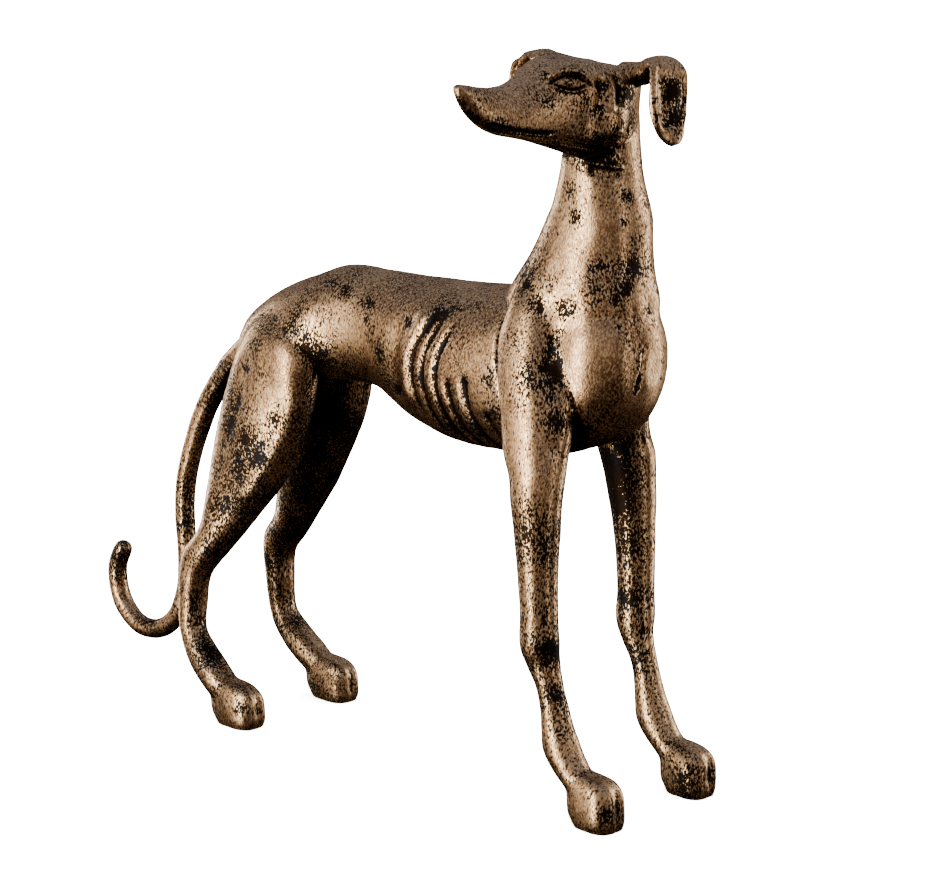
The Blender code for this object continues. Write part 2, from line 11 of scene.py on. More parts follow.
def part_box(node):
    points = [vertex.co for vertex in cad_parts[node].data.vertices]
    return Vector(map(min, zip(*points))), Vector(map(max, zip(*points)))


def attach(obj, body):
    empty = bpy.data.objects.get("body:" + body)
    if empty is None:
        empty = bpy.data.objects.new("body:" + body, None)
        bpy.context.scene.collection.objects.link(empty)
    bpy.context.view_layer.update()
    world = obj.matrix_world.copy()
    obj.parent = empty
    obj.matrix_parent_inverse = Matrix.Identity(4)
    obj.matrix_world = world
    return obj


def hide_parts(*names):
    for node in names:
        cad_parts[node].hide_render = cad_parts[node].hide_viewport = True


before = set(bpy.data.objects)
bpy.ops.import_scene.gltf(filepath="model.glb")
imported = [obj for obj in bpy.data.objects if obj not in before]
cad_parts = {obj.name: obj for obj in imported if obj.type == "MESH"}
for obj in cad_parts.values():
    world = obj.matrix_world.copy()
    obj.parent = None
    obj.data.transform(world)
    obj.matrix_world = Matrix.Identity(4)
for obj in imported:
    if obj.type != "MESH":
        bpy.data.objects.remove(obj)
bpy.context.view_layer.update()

# The greyhound is one hollow brass casting. Its forms are given in shares of its height, as the solid's are:
# the dog looks along +X and its left is +Y. Only the last step brings them to metres.

right, left = -1, 1
mmPerMetre = 1000

figure = {
    "voxel": 0.0025,            # how finely the form is worked
    "ringPoints": 32,
    "stepsBetweenRings": 9,
    "stepsAlongStrokes": 6,
    "levels": (-0.1, 1.2, 2601),  # lowest, highest and how many, where the head's larger scale is worked out
    "evenSoftening": 0.5,
    "softeningStep": 0.5,
    "softeningRounds": 60,
    "softeningLevels": 20,
    "mostTriangles": 198000,
    "sharpFrom": math.radians(55),
}

stance = {                      # how far the limbs stand out and along
    "pawOut": 0.098,
    "hockOut": 0.090,
    "forePawX": 0.383,
    "hindPawX": -0.311,
    "pawHalfLength": 0.040,
    "pawSquareness": 2.8,       # 2 would be an oval section
    "hockBack": 0.009,          # how much further back the left hock stands
    "thighFuller": 0.008,       # how much deeper the right thigh is
    "hindPawShare": 0.94,       # of the fore paws' size
    "hindPawLonger": 1.25,      # for that size
    "soleDepth": 0.012,         # what the ground cuts off
}

headPose = {
    "turn": math.radians(-94),  # the head looks to its right
    "axis": Vector((0.314, 0.0, 0.0)),
    "lean": 0.14,               # its left side hangs a little lower
    "earOut": 0.119,
    "earShift": 0.013,          # both ears sit a little to its right
    "earLean": {right: -0.012, left: 0.075},
    "scale": 3.0,               # worked this much larger, for its fine features
    "scalingStarts": 0.78,
    "scalingEnds": 0.88,
    "depths": (0.006, 0.075),   # its sides lie between these, inside the ears
}


# Curves, sections and lofts

def rising(values, start, span):  # 0 up to start, then up to 1 over the span
    return np.clip((values - start) / span, 0, 1)


def eased(share):
    return share * share * (3 - 2 * share)


def oval(at, side, up, egg=0.0, square=2.0):
    return Vector(at), side, up, egg, square


def ovals(rows, hand=1):  # a row is a middle, half width, half height and perhaps egg and squareness
    return [oval((x, hand * out, z), *size) for x, out, z, *size in rows]


def curveThrough(values, steps, closed=False):  # Catmull-Rom, through points or whole rings
    rows = np.asarray(values, float)
    if closed:
        padded = np.concatenate([rows[-1:], rows, rows[:2]])
    else:
        padded = np.concatenate([[2 * rows[0] - rows[1]], rows, [2 * rows[-1] - rows[-2]]])
    samples = []
    for a, b, c, d in zip(padded, padded[1:], padded[2:], padded[3:]):
        for t in np.arange(steps) / steps:
            samples.append(0.5 * (2 * b + (c - a) * t + (2 * a - 5 * b + 4 * c - d) * t**2
                                  + (3 * b - a - 3 * c + d) * t**3))
    if not closed:
        samples.append(rows[-1])
    return np.array(samples)


def ovalRing(section, facing, side):
    at, halfSide, halfUp, egg, square = section
    across = (side - facing * facing.dot(side)).normalized()
    upward = facing.cross(across)
    rounding = 2 / square
    ring = []
    for k in range(figure["ringPoints"]):
        turn = 2 * math.pi * k / figure["ringPoints"]
        c, s = math.cos(turn), math.sin(turn)
        out = halfSide * math.copysign(abs(c) ** rounding, c) * (1 + egg * s)
        rise = halfUp * math.copysign(abs(s) ** rounding, s)
        ring.append(at + across * out + upward * rise)
    return ring


def limb(sections, side, axis=None):  # square to axis or, without one, to its own path
    path = np.array([section[0] for section in sections])
    tangents = np.gradient(path, axis=0)
    facings = [Vector(axis or t).normalized() for t in tangents.tolist()]
    return loft([ovalRing(s, f, Vector(side)) for s, f in zip(sections, facings)])


def loft(rings):
    mesh = bmesh.new()
    skin = []
    for ring in curveThrough(rings, figure["stepsBetweenRings"]):
        skin.append([mesh.verts.new(point) for point in ring])
    for low, high in zip(skin, skin[1:]):
        for k in range(len(low)):
            n = (k + 1) % len(low)
            mesh.faces.new((low[k], low[n], high[n], high[k]))
    mesh.faces.new(skin[0])
    mesh.faces.new(skin[-1])
    bmesh.ops.recalc_face_normals(mesh, faces=mesh.faces)
    return mesh


# The forms

def torso():
    return limb(ovals([
        (-0.378, 0, 0.548, 0.010, 0.014),
        (-0.367, 0, 0.552, 0.036, 0.040),
        (-0.332, 0, 0.566, 0.057, 0.058),
        (-0.277, 0, 0.587, 0.067, 0.067),
        (-0.220, 0, 0.599, 0.070, 0.075),
        (-0.160, 0, 0.608, 0.062, 0.084),
        (-0.090, 0, 0.604, 0.058, 0.086),
        (-0.020, 0, 0.585, 0.069, 0.102),
        (0.060, 0, 0.574, 0.083, 0.112),
        (0.140, 0, 0.573, 0.090, 0.114, 0.0, 2.2),
        (0.220, 0, 0.578, 0.092, 0.118, 0.0, 2.2),
        (0.300, 0, 0.592, 0.084, 0.110, 0.05, 2.2),
        (0.346, 0, 0.597, 0.073, 0.096, 0.05, 2.2),
        (0.376, 0, 0.602, 0.052, 0.070, 0.05),
        (0.390, 0, 0.605, 0.022, 0.034),
    ]), side=(0, 1, 0), axis=(1, 0, 0))


def neck():
    return limb(ovals([
        (0.225, 0, 0.585, 0.070, 0.090),
        (0.265, 0, 0.640, 0.083, 0.112),
        (0.284, 0, 0.695, 0.074, 0.099, 0.0, 2.2),
        (0.294, 0, 0.745, 0.065, 0.080, 0.0, 2.3),
        (0.304, -0.001, 0.795, 0.058, 0.067, 0.0, 2.3),
        (0.306, -0.004, 0.845, 0.052, 0.054, 0.0, 2.2),
        (0.308, -0.006, 0.890, 0.051, 0.049),
        (0.312, -0.004, 0.935, 0.044, 0.041),
        (0.313, 0, 0.970, 0.022, 0.022),
    ]), side=(0, 1, 0))


def headTurn():
    return Matrix.Rotation(headPose["turn"], 3, "Z")


def inHead(forward, outLeft, z):
    return headPose["axis"] + headTurn() @ Vector((forward, outLeft, z))


def headRing(forward, top, brow, cheek, lip, bottom):  # brow, cheek and lip are (half width, height)
    half = [brow, cheek, lip]
    outline = [(0, top), *half, (0, bottom), *((-w, z) for w, z in reversed(half))]
    points = curveThrough(outline, figure["ringPoints"] // len(outline), closed=True)
    return [inHead(forward, w, z - headPose["lean"] * w) for w, z in points]


def skull():
    return loft([
        headRing(-0.038, 0.960, (0.012, 0.956), (0.014, 0.934), (0.010, 0.908), 0.903),
        headRing(-0.028, 0.978, (0.025, 0.972), (0.028, 0.942), (0.022, 0.898), 0.886),
        headRing(-0.010, 0.983, (0.043, 0.974), (0.043, 0.942), (0.034, 0.892), 0.870),
        headRing(0.026, 0.988, (0.055, 0.978), (0.057, 0.933), (0.045, 0.890), 0.866),
        headRing(0.062, 0.993, (0.049, 0.983), (0.057, 0.931), (0.042, 0.889), 0.868),
        headRing(0.095, 0.992, (0.041, 0.985), (0.050, 0.934), (0.037, 0.893), 0.876),
        headRing(0.125, 0.987, (0.032, 0.979), (0.043, 0.934), (0.033, 0.898), 0.884),
        headRing(0.152, 0.973, (0.023, 0.967), (0.036, 0.930), (0.029, 0.902), 0.891),
        headRing(0.180, 0.963, (0.0175, 0.957), (0.030, 0.929), (0.025, 0.906), 0.896),
        headRing(0.208, 0.959, (0.015, 0.953), (0.025, 0.932), (0.021, 0.911), 0.901),
        headRing(0.232, 0.960, (0.014, 0.954), (0.020, 0.937), (0.0165, 0.919), 0.911),
        headRing(0.252, 0.963, (0.012, 0.958), (0.015, 0.946), (0.011, 0.932), 0.927),
        headRing(0.266, 0.964, (0.008, 0.961), (0.009, 0.955), (0.006, 0.947), 0.944),
        headRing(0.271, 0.961, (0.004, 0.960), (0.004, 0.957), (0.003, 0.954), 0.953),
    ])


def ear(hand):  # a stalk standing out level, and the leaf that folds down from its end
    out = headPose["earOut"] - hand * headPose["earShift"]
    leafSide = headTurn() @ Vector((-1.0, 0.1 * hand, 0.0))
    sections = [
        (0.006, 0.030, 0.974, 0.018, 0.0165),
        (0.004, 0.062, 0.978, 0.019, 0.0155),
        (0.001, out - 0.030, 0.986, 0.022, 0.0140),
        (0.001, out - 0.012, 0.991, 0.025, 0.0125),
        (0.006, out, 0.988, 0.028, 0.0110),
        (0.011, out + 0.005, 0.971, 0.029, 0.0100),
        (0.013, out + 0.006, 0.940, 0.029, 0.0090),
        (0.009, out + 0.009, 0.915, 0.0245, 0.0080),
        (0.005, out + 0.012, 0.902, 0.0175, 0.0065),
        (0.003, out + 0.013, 0.894, 0.0080, 0.0040),
    ]
    return limb([
        oval(inHead(forward, hand * away, z - headPose["earLean"][hand] * hand * away), side, up)
        for forward, away, z, side, up in sections
    ], side=leafSide)


def foreLeg(hand):
    pawOut, pawX = stance["pawOut"], stance["forePawX"]
    return limb(ovals([
        (0.256, 0.044, 0.715, 0.018, 0.026),
        (0.248, 0.060, 0.655, 0.028, 0.040),
        (0.252, 0.071, 0.600, 0.033, 0.050),
        (0.268, 0.080, 0.530, 0.035, 0.052),
        (0.275, 0.091, 0.470, 0.034, 0.043),
        (0.279, 0.098, 0.420, 0.032, 0.037),
        (0.284, 0.101, 0.340, 0.027, 0.030),
        (0.2865, 0.101, 0.272, 0.0245, 0.0275),
        (0.2870, 0.100, 0.232, 0.0250, 0.0290),
        (0.2925, pawOut, 0.206, 0.0215, 0.0240),
        (0.3030, pawOut, 0.178, 0.0185, 0.0195),
        (0.3115, pawOut, 0.148, 0.0190, 0.0195),
        (pawX - 0.0650, pawOut, 0.118, 0.0215, 0.0240),
        (pawX - 0.0600, pawOut, 0.100, 0.0230, 0.0275),
        (pawX - 0.0460, pawOut, 0.078, 0.0225, 0.0245),
        (pawX - 0.0210, pawOut, 0.050, 0.0200, 0.0200),
    ], hand), side=(0, 1, 0))


def hindLeg(hand):
    pawOut, hockOut, pawX = stance["pawOut"], stance["hockOut"], stance["hindPawX"]
    back = stance["hockBack"] if hand == left else 0.0
    fuller = stance["thighFuller"] if hand == right else 0.0
    return limb(ovals([
        (-0.245, 0.034, 0.620, 0.026, 0.040),
        (-0.255, 0.050, 0.565, 0.036, 0.072),
        (-0.279, 0.054, 0.490, 0.040, 0.083),
        (-0.313 + 0.5 * fuller, 0.063, 0.405, 0.037, 0.067 + fuller),
        (-0.342, 0.071, 0.335, 0.032, 0.049 + 0.5 * fuller),
        (-0.370 - 0.7 * back, 0.081, 0.275, 0.028, 0.032),
        (-0.402 - back, 0.088, 0.236, 0.0265, 0.0290),
        (-0.4125 - 0.5 * back, hockOut, 0.203, 0.0240, 0.0250),
        (-0.4150, hockOut, 0.172, 0.0225, 0.0230),
        (-0.4150, 0.092, 0.141, 0.0215, 0.0215),
        (-0.4090, 0.093, 0.117, 0.0215, 0.0215),
        (pawX - 0.0810, 0.095, 0.095, 0.0240, 0.0240),
        (pawX - 0.0610, 0.096, 0.077, 0.0250, 0.0250),
        (pawX - 0.0370, pawOut, 0.058, 0.0245, 0.0245),
        (pawX - 0.0110, pawOut, 0.040, 0.0195, 0.0195),
    ], hand), side=(0, 1, 0))


def paw(hand, x, size, longer):  # a round club whose toes lift a little off the ground
    sole = -stance["soleDepth"]
    shape = [
        (-1.0, 0.010, 0.053, 0.0125),
        (-0.75, 0.000, 0.069, 0.0190),
        (-0.40, sole, 0.073, 0.0245),
        (0.10, sole, 0.071, 0.0280),
        (0.50, sole, 0.067, 0.0290),
        (0.82, -0.004, 0.058, 0.0260),
        (0.97, 0.008, 0.046, 0.0170),
    ]
    reach = size * longer * stance["pawHalfLength"]
    out, square = hand * stance["pawOut"], stance["pawSquareness"]
    return limb([
        oval((x + reach * along, out, (size * top + bottom) / 2),
             size * width, (size * top - bottom) / 2, 0.0, square)
        for along, bottom, top, width in shape
    ], side=(0, 1, 0), axis=(1, 0, 0))


def tail():
    path = [
        (-0.335, 0.575, 0.020),
        (-0.380, 0.550, 0.021),
        (-0.428, 0.512, 0.0190),
        (-0.474, 0.456, 0.0175),
        (-0.508, 0.392, 0.0170),
        (-0.530, 0.327, 0.0165),
        (-0.535, 0.270, 0.0160),
        (-0.532, 0.215, 0.0155),
        (-0.535, 0.160, 0.0155),
        (-0.558, 0.108, 0.0155),
        (-0.600, 0.078, 0.016),
        (-0.652, 0.077, 0.016),
        (-0.692, 0.110, 0.016),
        (-0.704, 0.160, 0.0160),
        (-0.686, 0.198, 0.0150),
        (-0.680, 0.206, 0.006),
    ]
    return limb([oval((x, 0, z), radius, radius) for x, z, radius in path], side=(0, 1, 0))


def allForms():
    forms = [torso(), neck(), skull(), tail()]
    for hand in (right, left):
        forms += [ear(hand), foreLeg(hand), hindLeg(hand)]
        forms += [paw(hand, stance["forePawX"], 1.0, 1.0)]
        forms += [paw(hand, stance["hindPawX"], stance["hindPawShare"], stance["hindPawLonger"])]
    return forms


# One skin over all of it, with the head worked larger

def workingScale():
    levels = np.linspace(*figure["levels"])
    starts, ends = headPose["scalingStarts"], headPose["scalingEnds"]
    scale = 1 + (headPose["scale"] - 1) * eased(rising(levels, starts, ends - starts))
    worked = levels[0] + np.concatenate([[0], np.cumsum((scale[1:] + scale[:-1]) / 2 * np.diff(levels))])
    return levels, scale, worked


def enlargeHead(points):
    levels, scale, worked = workingScale()
    factor = np.interp(points[:, 2], levels, scale)
    axisX = headPose["axis"].x
    x = axisX + (points[:, 0] - axisX) * factor
    return np.column_stack([x, points[:, 1] * factor, np.interp(points[:, 2], levels, worked)])


def restoreHead(points):
    levels, scale, worked = workingScale()
    z = np.interp(points[:, 2], worked, levels)
    factor = np.interp(z, levels, scale)
    axisX = headPose["axis"].x
    return np.column_stack([axisX + (points[:, 0] - axisX) / factor, points[:, 1] / factor, z])


def vectorsOf(mesh, name):
    vectors = np.empty(len(mesh.vertices) * 3, np.float32)
    mesh.vertices.foreach_get(name, vectors)
    return vectors.reshape(-1, 3).astype(float)


def pointsOf(mesh):
    return vectorsOf(mesh, "co")


def normalsOf(mesh):
    return vectorsOf(mesh, "normal")


def movePoints(mesh, points):
    mesh.vertices.foreach_set("co", np.ascontiguousarray(points, np.float32).ravel())
    mesh.update()


def applyModifiers(piece):
    graph = bpy.context.evaluated_depsgraph_get()
    made = bpy.data.meshes.new_from_object(piece.evaluated_get(graph))
    piece.modifiers.clear()
    piece.data = made


def fuse(forms):
    joined = bmesh.new()
    for form in forms:
        loose = bpy.data.meshes.new("form")
        form.to_mesh(loose)
        form.free()
        joined.from_mesh(loose)
        bpy.data.meshes.remove(loose)
    data = bpy.data.meshes.new("castGreyhound")
    joined.to_mesh(data)
    joined.free()
    movePoints(data, enlargeHead(pointsOf(data)))
    piece = bpy.data.objects.new("castGreyhound", data)
    bpy.context.scene.collection.objects.link(piece)
    skin = piece.modifiers.new("skin", "REMESH")
    skin.mode = "VOXEL"
    skin.voxel_size = figure["voxel"]
    applyModifiers(piece)
    return piece


def near(points, centre, radius):  # 1 at centre, falling smoothly to 0 at radius
    return eased(np.clip(1 - np.linalg.norm(points - np.array(centre), axis=1) / radius, 0, 1))


def soften(piece):  # runs the forms into one another where they join
    points = restoreHead(pointsOf(piece.data))
    pawOut = stance["pawOut"]
    joins = [
        ((0.205, 0, 0.69), 0.13),
        ((0.37, 0, 0.68), 0.14),
        ((-0.37, 0, 0.565), 0.06),
        ((0.31, 0, 0.885), 0.10),
    ]
    for hand in (right, left):
        joins += [
            ((0.25, hand * 0.08, 0.60), 0.14),
            ((0.27, hand * 0.06, 0.47), 0.07),
            ((-0.22, hand * 0.06, 0.57), 0.13),
            ((-0.20, hand * 0.05, 0.50), 0.07),
            ((stance["forePawX"] - 0.033, hand * pawOut, 0.065), 0.045),
            ((stance["hindPawX"] - 0.019, hand * pawOut, 0.06), 0.045),
            (inHead(0.01, hand * 0.062, 0.975), 0.03),
        ]
    weight = np.full(len(points), figure["evenSoftening"])
    for centre, radius in joins:
        weight = np.maximum(weight, near(points, centre, radius))
    group = piece.vertex_groups.new(name="joins")
    fullLevel = figure["softeningLevels"]
    levels = np.round(weight * fullLevel).astype(int)
    for level in np.unique(levels):
        group.add(np.nonzero(levels == level)[0].tolist(), level / fullLevel, "REPLACE")
    smooth = piece.modifiers.new("soften", "SMOOTH")
    smooth.factor = figure["softeningStep"]
    smooth.iterations = figure["softeningRounds"]
    smooth.vertex_group = "joins"
    applyModifiers(piece)


# Carving: strokes and mounds drawn in flat views of the figure

chisel = {
    "facing": (0.05, 0.3),      # how squarely skin faces a view where a cut starts, and how much more to full
    "taper": 0.18,              # the share of a stroke's length over which each end runs out
    "reach": 3,                 # in widths, past which a stroke is nothing
}
anyDepth = (0.0, 1.0)


def view(origin, across, facing):
    return Vector(origin), Vector(across), Vector((0, 0, 1)), Vector(facing)


def sideView(hand):
    return view((0, 0, 0), (1, 0, 0), (0, hand, 0))


def quarterView(hand):
    half = math.sqrt(0.5)
    return view((0, 0, 0), (half, -hand * half, 0), (half, hand * half, 0))


def frontView():
    return view((0, 0, 0), (0, 1, 0), (1, 0, 0))


def headSideView(hand):
    turn = headTurn()
    return view(headPose["axis"], turn @ Vector((1, 0, 0)), turn @ Vector((0, hand, 0)))


def earView(hand):  # onto the cupped outer face of a hanging ear
    turn = headTurn()
    out = headPose["earOut"] - hand * headPose["earShift"]
    return view(inHead(0.012, hand * out, 0.930),
                turn @ Vector((-1.0, 0.1 * hand, 0)), turn @ Vector((0.1, 1.0 * hand, 0)))


def seenIn(drawing, points, normals):
    origin, across, up, facing = (np.array(part) for part in drawing)
    moved = points - origin
    flat = np.column_stack([moved @ across, moved @ up])
    return flat, moved @ facing, rising(normals @ facing, *chisel["facing"])


def alongLine(flat, line):  # distance from a line, share of the way along it, and its right side
    starts, spans = line[:-1], np.diff(line, axis=0)
    gaps = flat[:, None] - starts[None]
    shares = np.clip((gaps * spans).sum(axis=2) / (spans**2).sum(axis=1), 0, 1)
    squared = ((gaps - shares[..., None] * spans) ** 2).sum(axis=2)
    nearest = squared.argmin(axis=1)
    each = np.arange(len(flat))
    along = (nearest + shares[each, nearest]) / len(spans)
    span, gap = spans[nearest], gaps[each, nearest]
    return np.sqrt(squared[each, nearest]), along, span[:, 1] * gap[:, 0] > span[:, 0] * gap[:, 1]


def closeTo(path, width, drawing, points, normals, depths):  # which points a line drawn in a view can reach
    flat, depth, facing = seenIn(drawing, points, normals)
    line = curveThrough(path, figure["stepsAlongStrokes"])
    margin = chisel["reach"] * width
    close = (facing > 0) & (depth > depths[0]) & (depth < depths[1])
    close &= ((flat > line.min(axis=0) - margin) & (flat < line.max(axis=0) + margin)).all(axis=1)
    return close, facing[close], *alongLine(flat[close], line)


def towardsEnds(along, taper):  # 0 at both ends of a line, 1 past the taper
    return np.clip(np.minimum(along, 1 - along) / taper, 0, 1)


def stroke(points, normals, drawing, path, width, rise, depths=anyDepth, lift=0.0, reach=0.0):
    close, facing, distance, along, onRight = closeTo(path, max(width, reach), drawing,
                                                      points, normals, depths)
    amount = rise * np.exp(-(distance / width) ** 2)
    if lift:
        amount += lift * onRight * np.exp(-(distance / reach) ** 2)
    amount *= eased(towardsEnds(along, chisel["taper"])) * facing
    points[close] += normals[close] * amount[:, None]


def mound(points, normals, drawing, centre, radii, rise, depths=anyDepth):
    flat, depth, facing = seenIn(drawing, points, normals)
    squared = (((flat - np.array(centre)) / np.array(radii)) ** 2).sum(axis=1)
    amount = rise * np.exp(-squared) * facing * (depth > depths[0]) * (depth < depths[1])
    points += normals * amount[:, None]


ribs = {
    "level": 0.55,              # the height at which each rib stands furthest back
    "bow": 4.0,                 # how strongly it curves away from there
    "width": 0.0080,
    "depth": 0.0036,
    "slits": [                  # place along the body, lower end, upper end, share of the depth
        (0.031, 0.490, 0.655, 0.8),
        (0.053, 0.470, 0.650, 1.0),
        (0.081, 0.455, 0.645, 1.2),
        (0.107, 0.455, 0.570, 1.0),
        (0.140, 0.455, 0.575, 1.2),
        (0.173, 0.455, 0.530, 0.7),
    ],
}


def rib(x, low, high):
    heights = np.linspace(low, high, 5)
    return np.column_stack([x + ribs["bow"] * (heights - ribs["level"]) ** 2, heights])


def carveBody(points, normals, hand):
    def draw(path, width, rise, **lifted):
        stroke(points, normals, sideView(hand), path, width, rise, **lifted)

    draw(rib(-0.012, 0.510, 0.650), 0.020, -0.004)
    draw(rib(0.014, 0.505, 0.660), 0.011, 0.0045)
    for x, low, high, share in ribs["slits"]:
        draw(rib(x, low, high), ribs["width"], -ribs["depth"] * share)
    blade = [(0.230, 0.440), (0.224, 0.500), (0.212, 0.570), (0.202, 0.620), (0.205, 0.665), (0.235, 0.735)]
    draw(blade, 0.006, -0.006, lift=0.008, reach=0.040)
    mound(points, normals, sideView(hand), (-0.205, 0.560), (0.040, 0.055), 0.010)
    draw([(-0.285, 0.57), (-0.305, 0.50), (-0.330, 0.43), (-0.350, 0.37)], 0.018, -0.003)
    draw([(-0.190, 0.53), (-0.220, 0.45), (-0.265, 0.38), (-0.310, 0.32)], 0.014, 0.004)


def carveChest(points, normals, hand):
    quarter, front = quarterView(hand), frontView()
    ahead, breast = (0.05, 1.0), (0.25, 1.0)
    valley = [(0.172, 0.705), (0.157, 0.660), (0.147, 0.610), (0.143, 0.560), (0.147, 0.500), (0.155, 0.460)]
    stroke(points, normals, quarter, valley, 0.020, -0.0060, ahead)
    slit = [(0.151, 0.640), (0.145, 0.622), (0.139, 0.604), (0.137, 0.586)]
    stroke(points, normals, quarter, slit, 0.0070, -0.0022, ahead)
    mound(points, normals, front, (hand * 0.028, 0.676), (0.020, 0.022), 0.005, breast)
    if hand == right:
        throatFold = [(0.186, 0.862), (0.212, 0.857), (0.242, 0.853)]
        stroke(points, normals, quarter, throatFold, 0.0035, 0.0030, ahead)
        underFold = [(0.188, 0.852), (0.212, 0.848), (0.240, 0.844)]
        stroke(points, normals, quarter, underFold, 0.0065, -0.0025, ahead)
    else:
        scar = [(-0.013, 0.632), (-0.018, 0.610), (-0.023, 0.585), (-0.028, 0.560)]
        stroke(points, normals, front, scar, 0.0040, -0.0028, breast)


mouth = [(0.238, 0.916), (0.200, 0.907), (0.168, 0.903), (0.130, 0.901)]
eye = {                         # its middle, ahead and up, and the lines around it for an eye of size 1
    "at": (0.1150, 0.9625),
    "size": 0.8,
    "brow": [(0.032, 0.004), (0.021, 0.012), (0.003, 0.018), (-0.016, 0.016), (-0.031, 0.005),
             (-0.036, -0.005)],
    "lowerLid": [(0.030, 0.000), (0.016, -0.009), (-0.004, -0.013), (-0.021, -0.010), (-0.032, -0.003)],
}


def aroundEye(line):
    (ahead, up), size = eye["at"], eye["size"]
    return [(ahead + size * f, up + size * z) for f, z in eye[line]]


def carveHead(points, normals, hand):
    def draw(path, width, rise):
        stroke(points, normals, headSideView(hand), path, width, rise, headPose["depths"])

    def press(centre, radii, rise):
        mound(points, normals, headSideView(hand), centre, radii, rise, headPose["depths"])

    draw(mouth, 0.0022, -0.0060)
    press(eye["at"], (0.022, 0.012), -0.0030)
    draw(aroundEye("brow"), 0.0038, 0.0065)
    draw([(f, z - 0.0052) for f, z in aroundEye("brow")[:5]], 0.0015, -0.0034)
    press(eye["at"], (0.0110, 0.0062), 0.0070)
    draw(aroundEye("lowerLid"), 0.0022, 0.0032)
    draw([(f, z + 0.0034) for f, z in aroundEye("lowerLid")], 0.0013, -0.0028)
    press(eye["at"], (0.0050, 0.0048), -0.0034)
    press(eye["at"], (0.0030, 0.0030), 0.0055)
    press((0.047, 0.910), (0.022, 0.024), 0.009)   # the cheek, and the hollow ahead of it
    press((0.086, 0.924), (0.014, 0.024), -0.0030)
    underJaw = [(0.150, 0.889), (0.115, 0.880), (0.080, 0.874), (0.050, 0.874), (0.026, 0.888),
                (0.014, 0.915)]
    draw(underJaw, 0.006, -0.009)
    draw([(0.059, 0.980), (0.057, 0.955), (0.060, 0.922)], 0.0045, 0.0045)   # the tendon below the ear
    draw([(0.046, 0.978), (0.044, 0.955), (0.048, 0.930)], 0.0050, -0.0050)
    draw([(0.073, 0.972), (0.071, 0.950), (0.074, 0.925)], 0.0060, -0.0045)
    draw([(0.086, 0.988), (0.060, 0.990), (0.030, 0.989)], 0.0040, 0.0030)   # the edge of the skull's top


def carveEar(points, normals, hand):
    cup = [(-0.010, 0.050), (-0.009, 0.020), (-0.007, -0.008), (-0.003, -0.028)]
    foreEdge = [(-0.016, 0.062), (-0.024, 0.045), (-0.026, 0.015), (-0.023, -0.010), (-0.012, -0.034)]
    backEdge = [(0.020, 0.060), (0.026, 0.030), (0.025, 0.000), (0.016, -0.028)]
    for path, width, rise in ((cup, 0.0110, -0.0065), (foreEdge, 0.0045, 0.0055), (backEdge, 0.0042, 0.0035)):
        stroke(points, normals, earView(hand), path, width, rise, depths=(-0.020, 0.030))


toes = {
    "creases": (-0.022, 0.0, 0.022),  # where they lie, out from the paw's middle
    "fromTip": 0.006,
    "level": 0.034,
    "along": 0.020,             # each crease's own length, width, height and depth
    "across": 0.0060,
    "upward": 0.026,
    "depth": 0.0040,
}


def carvePaws(points, normals, hand):  # broad creases that part the toes
    for x in (stance["forePawX"], stance["hindPawX"]):
        tip = x + stance["pawHalfLength"]
        for out in toes["creases"]:
            crease = np.array([tip - toes["fromTip"], hand * (stance["pawOut"] + out), toes["level"]])
            offsets = points - crease
            nearToe = np.exp(-(offsets[:, 1] / toes["across"]) ** 2 - (offsets[:, 0] / toes["along"]) ** 2
                             - (offsets[:, 2] / toes["upward"]) ** 2)
            points -= normals * (toes["depth"] * nearToe)[:, None]


def carve(piece):
    points = restoreHead(pointsOf(piece.data))
    for cut in (carveBody, carveChest, carveHead, carveEar, carvePaws):
        for hand in (right, left):
            movePoints(piece.data, points)
            cut(points, normalsOf(piece.data), hand)
    movePoints(piece.data, enlargeHead(points))


# The skin of the casting

castSkin = {
    "rollSize": 24.0,           # mm, the slow unevenness of hand-worked wax
    "rollDepth": 0.5,           # mm
    "dentSize": 9.0,            # mm, where the rasp and the sand bit in
    "dentDepth": 0.16,          # mm
    "headStarts": 0.86,         # above this height the skin grows smoother, by the share given
    "headFades": 0.03,
    "headSmoother": 0.8,
}


def roughen(piece, unit):
    points = restoreHead(pointsOf(piece.data))
    movePoints(piece.data, points)
    normals = normalsOf(piece.data)
    mm = points * unit * mmPerMetre
    rolls = np.array([noise.noise(Vector(p)) for p in mm / castSkin["rollSize"]])
    dents = np.array([noise.noise(Vector(p)) for p in mm / castSkin["dentSize"]])
    onHead = rising(points[:, 2], castSkin["headStarts"], castSkin["headFades"])
    amount = castSkin["rollDepth"] * rolls + castSkin["dentDepth"] * dents
    amount *= 1 - castSkin["headSmoother"] * onHead
    points += normals * (amount / (unit * mmPerMetre))[:, None]
    movePoints(piece.data, enlargeHead(points))


def thin(piece):
    count = sum(len(face.vertices) - 2 for face in piece.data.polygons)
    fewer = piece.modifiers.new("thin", "DECIMATE")
    fewer.ratio = figure["mostTriangles"] / count
    applyModifiers(piece)


def levelSoles(mesh):  # the ground cuts each paw level
    cut = bmesh.new()
    cut.from_mesh(mesh)
    everything = cut.verts[:] + cut.edges[:] + cut.faces[:]
    made = bmesh.ops.bisect_plane(cut, geom=everything, plane_co=(0, 0, 0), plane_no=(0, 0, 1),
                                  clear_inner=True)
    edges = [item for item in made["geom_cut"] if isinstance(item, bmesh.types.BMEdge)]
    filled = bmesh.ops.holes_fill(cut, edges=edges)
    bmesh.ops.triangulate(cut, faces=filled["faces"])
    cut.to_mesh(mesh)
    cut.free()
